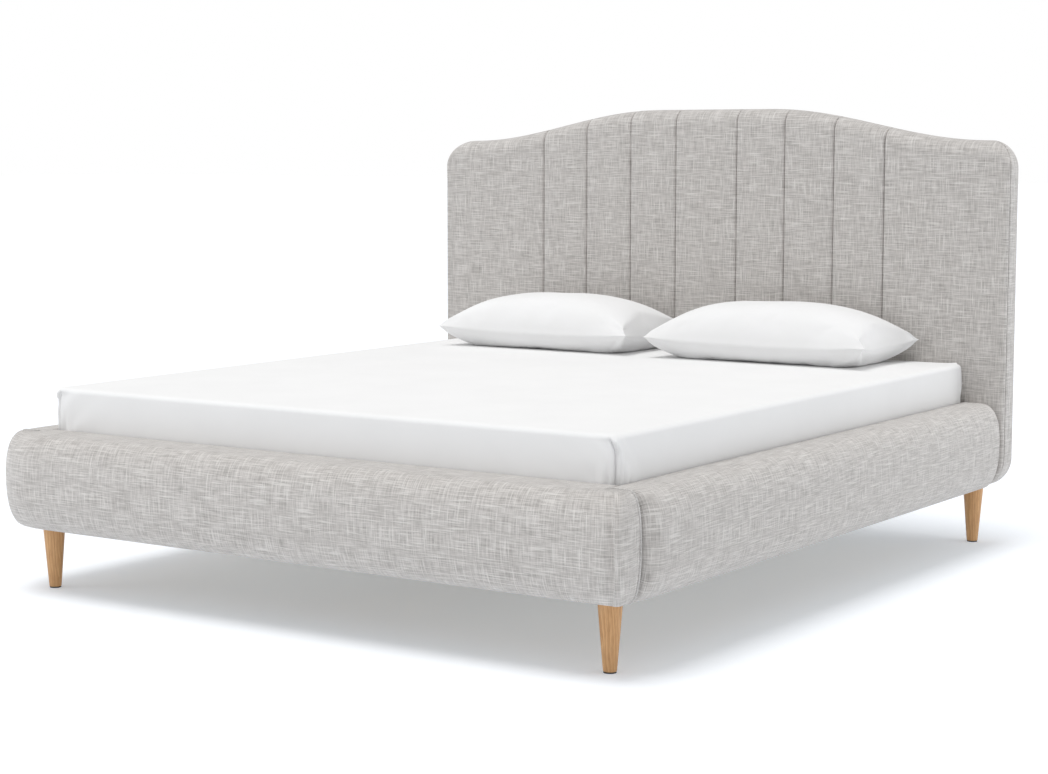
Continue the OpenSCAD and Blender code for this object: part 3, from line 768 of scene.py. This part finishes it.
def side_rail(side, word):
    front, back = SIDE_FRONT + SEAM_OPEN, SIDE_BACK
    swell_in, round_front, round_back = 0.050, 0.014, 0.020
    least = SEAM_OUT + 0.003
    ys = list(front + round_front * (1 - np.cos(np.linspace(0, math.pi / 2, 6))))
    ys += list(np.linspace(front + 0.022, front + 0.06, 7))
    ys += list(np.arange(front + 0.08, back - 0.04, 0.025))
    ys += list(back - round_back + round_back * np.sin(np.linspace(0, math.pi / 2, 10)))
    rings = []
    for y in ys:
        share = 1 - (1 - min(1.0, (y - front) / swell_in)) ** 2.2
        swell = least + (BULGE - least) * share
        near = max(0.0, 1 - (y - front) / round_front)
        end = max(0.0, 1 - (back - y) / round_back)
        shrink = 0.012 * (1 - math.sqrt(1 - near * near)) + 0.014 * (1 - math.sqrt(1 - end * end))
        pull = (SEAM_OPEN - SEAM_SHUT) * max(0.0, 1 - (y - front) / swell_in)
        ring = side_ring(side, y, swell, shrink)
        rings.append([(x, y - pull * shut_at(x), z) for x, _, z in ring])
    run = arc_lengths([ring[len(ring) // 2 - 2] for ring in rings])
    down = cloth_lengths(rings[len(rings) // 2], 1)
    threads = [[(length, r, 0.0) for r in down] for length in run]
    upholster(loft(f"side_rail_cover_{word}", rings, threads), f"side_rail_pad_{word}")


def corner_welt(side, word):
    """Piping along the corner seam: under the rail, round its face and over its top."""
    r = WELT_R * 1.5
    y = SEAM_Y + 0.0012
    path = [(SIDE_EDGE - 0.02, RAIL_LOW + 0.0005)]
    path += [(SIDE_EDGE + out, z) for out, z in rail_profile(SEAM_OUT + 0.0012)]
    path += [(x, RAIL_TOP + 0.0003) for x in np.linspace(SIDE_EDGE - 0.006, SIDE_INNER + 0.003, 6)]
    return tube(f"corner_piping_{word}", [(side * x, y, z) for x, z in path], r)


def rails():
    foot_rail()
    for side, word in ((-1, "left"), (1, "right")):
        side_rail(side, word)
        welt = corner_welt(side, word)
        dress(welt, PIPING, replaces=["corner_welts"] if side > 0 else ())


# ---------- mattress and sheet ----------

MATTRESS_LOW, MATTRESS_HIGH = low("mattress"), high("mattress")
SHEET_LOW, SHEET_HIGH = low("fitted_sheet"), high("fitted_sheet")
CORNER_CELLS, CELL = 14, 0.022


def grid_lines(half, radius):
    """Lines from -half to half: even inside the rounded corners, then opening out to CELL."""
    inner = half - radius
    corner = [inner + radius * i / CORNER_CELLS for i in range(CORNER_CELLS + 1)]
    flat, gap = [inner], radius / CORNER_CELLS
    while flat[-1] - gap > 0:
        flat.append(flat[-1] - gap)
        gap = min(CELL, gap * 1.25)
    scale = inner / (inner - flat[-1]) if flat[-1] < inner else 1.0
    flat = [inner - (inner - f) * scale for f in flat]
    positive = sorted(flat[:-1]) + corner[1:]
    return np.array([-p for p in positive[::-1]] + [0.0] + positive)


def rounded_grid(half_x, half_y, radius):
    """A flat grid over a rectangle with round corners."""
    gx, gy = np.meshgrid(grid_lines(half_x, radius), grid_lines(half_y, radius))
    u = np.clip((np.abs(gx) - (half_x - radius)) / radius, 0, 1)
    v = np.clip((np.abs(gy) - (half_y - radius)) / radius, 0, 1)
    x = np.where(u > 0, half_x - radius + radius * u * np.sqrt(1 - v * v / 2), np.abs(gx))
    y = np.where(v > 0, half_y - radius + radius * v * np.sqrt(1 - u * u / 2), np.abs(gy))
    return np.sign(gx) * x, np.sign(gy) * y


def rim_of(rows, cols):
    """Index pairs round a grid's edge, anticlockwise from its first corner."""
    return ([(0, j) for j in range(cols - 1)] + [(i, cols - 1) for i in range(rows - 1)]
            + [(rows - 1, j) for j in range(cols - 1, 0, -1)] + [(i, 0) for i in range(rows - 1, 0, -1)])


def outward(x, y, half_x, half_y, radius):
    """Way out at a point of the rim of a rectangle with round corners."""
    u = max(0.0, abs(x) - (half_x - radius))
    v = max(0.0, abs(y) - (half_y - radius))
    length = math.hypot(u, v)
    return np.array([math.copysign(u / length, x), math.copysign(v / length, y)])


def slab(name, half, corner, soft, levels, top_of, side_of, centre_y, closed):
    """A soft slab: a top grid and rows down its sides at the given levels of (outward, z).
    side_of says how far each side point stands proud; closed adds a bottom."""
    half_x, half_y = half
    flat_x, flat_y, flat_r = half_x - soft, half_y - soft, corner - soft
    gx, gy = rounded_grid(flat_x, flat_y, flat_r)
    rows, cols = gx.shape
    verts = [(x, y + centre_y, top_of(x, y)) for x, y in zip(gx.ravel(), gy.ravel())]
    threads = [(v[0], v[1], 0.0) for v in verts]
    faces = grid_faces(rows, cols)
    rim = rim_of(rows, cols)
    ways = [outward(gx[p], gy[p], flat_x, flat_y, flat_r) for p in rim]
    around = arc_lengths([(gx[p], gy[p]) for p in rim])
    previous = [i * cols + j for i, j in rim]
    for out, z in levels:
        current = []
        for k, (p, way) in enumerate(zip(rim, ways)):
            proud = out + side_of(gx[p], gy[p], z, way)
            current.append(len(verts))
            verts.append((gx[p] + way[0] * proud, gy[p] + way[1] * proud + centre_y, z))
            threads.append((around[k], z, 0.0))
        for k in range(len(rim)):
            following = (k + 1) % len(rim)
            faces.append((previous[following], previous[k], current[k], current[following]))
        previous = current
    if closed:
        faces.append(tuple(previous))
    return build(name, verts, faces, threads)


BODY_CORNER, BODY_SOFT = 0.060, 0.020
BODY_BELOW_SHEET, BODY_LIFT = 0.0040, 0.0016
TAPE_T, TAPE_W = 0.0012, 0.004


def half_and_centre(lowest, highest):
    """Half sizes in X and Y, and the middle in Y, of a box centred on X."""
    half = (highest - lowest) / 2
    return half[0], half[1], (highest[1] + lowest[1]) / 2


def mattress():
    half_x, half_y, centre_y = half_and_centre(MATTRESS_LOW, MATTRESS_HIGH)
    top, bottom = MATTRESS_HIGH[2] - BODY_BELOW_SHEET, MATTRESS_LOW[2] + BODY_LIFT
    edge = BODY_SOFT + TAPE_W
    levels = [(BODY_SOFT * sin, top - BODY_SOFT * (1 - cos)) for sin, cos in quarter(6)[1:]]
    levels += [(BODY_SOFT - TAPE_T, z) for z in np.linspace(top - edge, bottom + edge, 16)]
    levels += [(BODY_SOFT * sin, bottom + BODY_SOFT * (1 - cos)) for sin, cos in quarter(6)[::-1]]
    body = slab("mattress_body", (half_x, half_y), BODY_CORNER, BODY_SOFT, levels,
                lambda x, y: top, lambda x, y, z, way: 0.0, centre_y, True)
    dress(body, TICKING, "mattress", ["mattress"])


SHEET_CORNER, SHEET_SOFT, HEM_SOFT = 0.026, 0.013, 0.010
TUCK = 0.030
EDGE_FALL = 0.002
SHEET_T = 0.0011


def corner_way(x, y, way, half_x, half_y, radius):
    """Length along the sheet's rim from the nearest corner's middle, positive on the foot and head."""
    half_arc = math.radians(45) * SHEET_CORNER
    if abs(way[0]) > 0.9999:
        return -half_arc - max(0.0, half_y - radius - abs(y))
    if abs(way[1]) > 0.9999:
        return half_arc + max(0.0, half_x - radius - abs(x))
    return (math.atan2(abs(way[1]), abs(way[0])) - math.radians(45)) * SHEET_CORNER


def corner_fold(s, height):
    """The fold at a fitted corner: a groove with a soft approach on one side and a lip on the other."""
    fade = float(smoothstep((0.97 - height) / 0.05))
    centre = 0.016 * float(smoothstep((height - 0.80) / 0.17))
    q = s - centre
    groove = -0.0090 * math.exp(-(q / 0.0034) ** 2)
    approach = -0.0050 * math.exp(-q / 0.016) * float(smoothstep(q / 0.003)) if q > 0 else 0.0
    lip = 0.0040 * math.exp(-((q + 0.011) / 0.0070) ** 2)
    return (groove + approach + lip) * fade


def fitted_sheet():
    half_x, half_y, centre_y = half_and_centre(SHEET_LOW, SHEET_HIGH)
    top, bottom = SHEET_HIGH[2], SHEET_LOW[2]
    flat_x, flat_y, flat_r = half_x - SHEET_SOFT, half_y - SHEET_SOFT, SHEET_CORNER - SHEET_SOFT

    def top_of(x, y):
        u, v = abs(x) / half_x, abs(y) / half_y
        ripple = 0.0016 * noise.noise(Vector((x * 2.3, y * 2.3, 1.7)))
        inner = float(smoothstep((1 - max(u, v)) / 0.1))
        from_corner = math.hypot(flat_x - abs(x), flat_y - abs(y))
        ear = (0.0035 if y < 0 else 0.0065) * math.exp(-from_corner / 0.03)
        return top - EDGE_FALL * (u ** 12 + v ** 12) - max(0.0, -ripple) * inner + ear

    levels = [(SHEET_SOFT * sin, top - EDGE_FALL - SHEET_SOFT * (1 - cos)) for sin, cos in quarter(7)[1:]]
    side_low = bottom + HEM_SOFT
    side_high = levels[-1][1] - 0.002
    for share in np.linspace(0.0, 1.0, 34) ** 1.5:
        levels.append((SHEET_SOFT, side_high + (side_low + 0.004 - side_high) * share))
    for sin, cos in quarter(4)[::-1]:
        levels.append((SHEET_SOFT - HEM_SOFT * (1 - sin), side_low - HEM_SOFT * cos))
    for inward in np.linspace(0.004, TUCK, 4):
        levels.append((SHEET_SOFT - HEM_SOFT - inward, bottom))

    def side_of(x, y, z, way):
        height = (z - bottom) / (top - bottom)
        if height < 0.02:
            return 0.0
        s = corner_way(x, y, way, flat_x, flat_y, flat_r)
        face = 11.0 if s < 0 else 3.0
        face += 20.0 * (x > 0) + 40.0 * (y > 0)
        away = abs(s)
        pull = math.exp(-away / 0.16)
        near = math.exp(-away / 0.05)
        slant = noise.noise(Vector((s * 24.0 + (1 - height) * 6.0, height * 2.0, face)))
        hem = math.exp(-((height - 0.56) / 0.13) ** 2)
        gather = noise.noise(Vector((s * 55.0, height * 2.5, face + 5.0)))
        swell = 0.0012 * math.sin(math.pi * height)
        wave = 0.0010 * noise.noise(Vector((s * 3.0, height * 1.2, face + 9.0)))
        ripple = 0.0045 * pull * slant + 0.0100 * (near + 0.35 * pull) * hem * gather
        fold = corner_fold(s, height) * (1.0 if y < 0 else 0.4) if away < 0.08 else 0.0
        return swell + wave + ripple * (1.0 if y < 0 else 0.6) + fold

    piece = slab("fitted_sheet_cotton", (half_x, half_y), SHEET_CORNER, SHEET_SOFT, levels, top_of,
                 side_of, centre_y, False)
    thick = piece.modifiers.new("thickness", "SOLIDIFY")
    thick.thickness = SHEET_T
    thick.offset = -1.0
    dress(piece, SHEET, "mattress", ["fitted_sheet"])


# ---------- pillows ----------

PILLOW_COLS, PILLOW_ROWS = 72, 44
PILLOW_SWELL = 0.009
PILLOW_FLANGE = 0.003
PILLOW_PACKING = 0.92
PUFF_FRAMES = 20
COTTON = {"quality": 6, "mass": 0.2, "tension_stiffness": 20, "compression_stiffness": 20,
          "shear_stiffness": 8, "bending_stiffness": 0.15, "shrink_min": -0.035,
          "use_pressure": True, "uniform_pressure_force": 3.0}


def pillow_point(u, v, upper, size, seed):
    """A point of a filled pillow: pointed corners, sides pulled in, and a flat patch underneath."""
    x = size[0] / 2 * u * (1 - 0.055 * (1 - v * v) * abs(u) ** 3)
    y = size[1] / 2 * v * (1 - 0.075 * (1 - u * u) * abs(v) ** 3)
    corner = (abs(u) * abs(v)) ** 3
    seam = 0.044 + 0.020 * corner
    fill = max(0.0, (1 - abs(u) ** 2.8) * (1 - abs(v) ** 2.6))
    if upper:
        z = seam + (size[2] - seam) * fill ** 0.54
    else:
        bearing = max(0.0, (1 - u * u) * (1 - v * v))
        z = seam * (1 - min(1.0, 2.2 * bearing ** 0.6))
    lump = 0.004 * noise.noise(Vector((x * 6 + seed, y * 6, 4.0 * upper))) * fill
    return x, y, z + (lump if upper else 0.0)


def spread(number, count):
    """Steps from -1 to 1 that draw closer together towards both ends."""
    end = math.sin(math.pi / 2 * PILLOW_PACKING)
    return math.sin(math.pi / 2 * (2 * number / count - 1) * PILLOW_PACKING) / end


def pillow_shell(word, size, seed):
    """Two layers of cloth sewn together round their edge."""
    verts, index, faces = [], {}, []
    for upper in (0, 1):
        for i in range(PILLOW_ROWS + 1):
            for j in range(PILLOW_COLS + 1):
                if upper and (i in (0, PILLOW_ROWS) or j in (0, PILLOW_COLS)):
                    index[1, i, j] = index[0, i, j]
                    continue
                u, v = spread(j, PILLOW_COLS), spread(i, PILLOW_ROWS)
                index[upper, i, j] = len(verts)
                verts.append(pillow_point(u, v, upper, size, seed))
    for upper in (0, 1):
        for i in range(PILLOW_ROWS):
            for j in range(PILLOW_COLS):
                quad = (index[upper, i, j], index[upper, i, j + 1],
                        index[upper, i + 1, j + 1], index[upper, i + 1, j])
                faces.append(quad if upper else quad[::-1])
    return build(f"pillow_case_{word}", verts, faces)


def edge_ways(total):
    """Way out at each of a pillow's points that lie on its sewn edge, and nothing at the rest."""
    ways = np.zeros((total, 2))
    for number in range((PILLOW_COLS + 1) * (PILLOW_ROWS + 1)):
        i, j = divmod(number, PILLOW_COLS + 1)
        ways[number] = ((j == PILLOW_COLS) - (j == 0), (i == PILLOW_ROWS) - (i == 0))
    return ways


def puff(shell):
    """Lets the filling press the cloth out a little, and gives back where its points moved to."""
    cloth = shell.modifiers.new("cloth", "CLOTH")
    settings = cloth.settings
    for key, value in COTTON.items():
        setattr(settings, key, value)
    settings.effector_weights.gravity = 0.0
    cloth.collision_settings.use_collision = False
    cloth.point_cache.frame_start = 1
    cloth.point_cache.frame_end = PUFF_FRAMES
    for number in range(1, PUFF_FRAMES + 1):
        bpy.context.scene.frame_set(number)
    evaluated = shell.evaluated_get(bpy.context.evaluated_depsgraph_get())
    moved = np.array([v.co for v in evaluated.data.vertices])
    shell.modifiers.remove(cloth)
    bpy.context.scene.frame_set(1)
    return moved


def pillow(word, seed, grow):
    box_low, box_high = low(f"pillow_{word}"), high(f"pillow_{word}")
    size = box_high - box_low + np.array(grow)
    shell = pillow_shell(word, size, seed)
    start = np.array([v.co for v in shell.data.vertices])
    shift = puff(shell) - start
    shift -= shift.mean(0)
    length = np.linalg.norm(shift, axis=1, keepdims=True)
    shift *= np.minimum(1.0, PILLOW_SWELL / np.maximum(length, 1e-6))
    rest = start + shift
    ways = edge_ways(len(start))
    rest[:, :2] += PILLOW_FLANGE * ways
    lo, hi = rest.min(0), rest.max(0)
    rest = (rest - lo) / (hi - lo) * size + box_low
    shell.data.vertices.foreach_set("co", rest.astype(np.float32).ravel())
    shell.data.update()
    crease = shell.data.attributes.new("crease_edge", "FLOAT", "EDGE")
    rim = set(np.flatnonzero(np.abs(ways).sum(1) > 0).tolist())
    on_rim = [set(e.vertices) <= rim for e in shell.data.edges]
    crease.data.foreach_set("value", [0.35 if sewn else 0.0 for sewn in on_rim])
    smooth = shell.modifiers.new("finer", "SUBSURF")
    smooth.levels = smooth.render_levels = 1
    dress(shell, PILLOW, f"pillow_{word}", [f"pillow_{word}"])


# ---------- legs ----------

def leg(node):
    """A turned leg: a straight taper with an eased foot, in place of the plain cone."""
    lowest, highest = low(node), high(node)
    x, y = (lowest[:2] + highest[:2]) / 2
    top_r = (highest[0] - lowest[0]) / 2
    foot_r, core_r, ease = 0.0165, 0.001, 0.0025
    z_low, z_high = lowest[2], highest[2]
    profile = [(core_r, z_low)]
    profile += [(foot_r - ease + ease * sin, z_low + ease * (1 - cos)) for sin, cos in quarter(4)]
    for share in np.linspace(0.08, 1.0, 12):
        profile.append((foot_r + (top_r - foot_r) * share, z_low + (z_high - z_low) * share))
    profile.append((core_r, z_high))
    turns = np.linspace(0, 2 * math.pi, 48, endpoint=False)
    rings = [[(x + r * math.cos(t), y + r * math.sin(t), z) for t in turns] for r, z in profile]
    dress(loft(f"{node}_turned", rings), OAK, replaces=[node])


# ---------- CAD nodes that keep their shape ----------

def paint(node, material, width):
    """Gives a CAD node its material and, where it has sharp edges, eases them by width."""
    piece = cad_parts[node]
    piece.data.materials.clear()
    piece.data.materials.append(material)
    if width:
        edge = piece.modifiers.new("eased_edges", "BEVEL")
        edge.width = width
        edge.segments = 2
        edge.limit_method = "ANGLE"
        edge.angle_limit = math.radians(40)


def both(name):
    return [f"{name}_left", f"{name}_right"]


STRUCTURE = (
    (PINE[0], 0.0012, ["foot_rail_front_board", "foot_rail_back_board", "headboard_battens"]),
    (PINE[1], 0.0012, both("side_rail_board") + both("slat_ledger") + ["centre_beam"]),
    (PINE[2], 0.0012, both("headboard_post") + both("corner_block")
     + ["headboard_edge_frame", "foot_rail_spacers"]),
    (BIRCH, 0.0, ["headboard_panel"]),
    (BIRCH, 0.0015, both("slats")),
    (STEEL, 0.0004, both("head_bracket") + ["corner_block_bolts", "head_bracket_bolts", "ledger_screws",
                                            "leg_bolts", "beam_brackets", "beam_bracket_screws",
                                            "centre_leg_plates"]),
    (PLASTIC, 0.0006, ["leg_glides", "centre_foot_front", "centre_foot_rear"]),
    (PLASTIC, 0.0, both("slat_holders") + ["slat_holders_centre"]),
    (OAK, 0.0015, ["centre_leg_front", "centre_leg_rear"]),
    (BACK_CLOTH, 0.001, ["headboard_back_cover"]),
)


def structure():
    for material, width, nodes in STRUCTURE:
        for node in nodes:
            paint(node, material, width)


# ---------- stage, light and camera ----------

def stage():
    half = 60.0
    mesh = bpy.data.meshes.new("floor")
    mesh.from_pydata([(-half, -half, 0), (half, -half, 0), (half, half, 0), (-half, half, 0)],
                     [], [(0, 1, 2, 3)])
    floor = add("floor", mesh)
    n = Nodes("pale_floor")
    mottle = n.cloud(n.object_place(), 3.0, 2.0)
    n.link(n.mix(mottle, (0.80, 0.81, 0.83, 1), (0.82, 0.83, 0.85, 1)), n.shader.inputs["Base Color"])
    n.set(Roughness=0.9, Specular_IOR_Level=0.1)
    n.set(Emission_Color=(0.80, 0.90, 1, 1), Emission_Strength=0.245)
    mesh.materials.append(n.material)


def turned(way):
    """The rotation that points a light along a way."""
    return Vector(way).to_track_quat("-Z", "Y").to_euler()


def softbox(name, place, aim, power):
    """A soft rectangular light at a place, turned to its aim."""
    lamp = bpy.data.lights.new(name, "AREA")
    lamp.shape = "RECTANGLE"
    lamp.size, lamp.size_y = 2.0, 1.6
    lamp.energy = power
    holder = add(name, lamp)
    holder.location = place
    holder.rotation_euler = turned(Vector(aim) - Vector(place))
    holder.visible_camera = False


def lights():
    """A white room that looks brighter than it lights, a broad overhead light and two weak side lights."""
    world = bpy.data.worlds.new("studio")
    bpy.context.scene.world = world
    world.use_nodes = True
    nodes, links = world.node_tree.nodes, world.node_tree.links
    path = nodes.new("ShaderNodeLightPath")
    level = nodes.new("ShaderNodeMapRange")
    level.inputs["To Min"].default_value = 0.63
    level.inputs["To Max"].default_value = 1.0
    links.new(path.outputs["Is Camera Ray"], level.inputs["Value"])
    nodes["Background"].inputs["Color"].default_value = (1, 1, 1, 1)
    links.new(level.outputs["Result"], nodes["Background"].inputs["Strength"])
    sun = bpy.data.lights.new("overhead", "SUN")
    sun.energy = 1.60
    sun.angle = math.radians(31)
    holder = add("overhead", sun)
    holder.rotation_euler = turned((0.08, 0.19, -1.0))
    softbox("left_front", (-4.2, -3.6, 1.7), (-0.8, -0.6, 0.4), 26)
    softbox("right_rear", (4.4, 2.8, 1.3), (1.0, 0.6, 0.4), 28)


def camera():
    view = bpy.data.cameras.new("view")
    view.sensor_width = 36.0
    view.lens = 76.44
    view.clip_end = 200
    eye = add("view", view)
    eye.location = (3.532, -5.2666, 1.210)
    eye.rotation_euler = (math.radians(90 - 6.2256), 0.0, math.radians(33.8726))
    bpy.context.scene.camera = eye
    bpy.context.scene.view_settings.view_transform = "Standard"


camera()
lights()
stage()
headboard()
rails()
mattress()
fitted_sheet()
for word, seed, grow in (("left", 1.0, (0.0, 0.0, 0.006)), ("right", 6.0, (0.028, 0.0, 0.010))):
    pillow(word, seed, grow)
for name in ("leg_front_left", "leg_front_right", "leg_rear_left", "leg_rear_right"):
    leg(name)
structure()
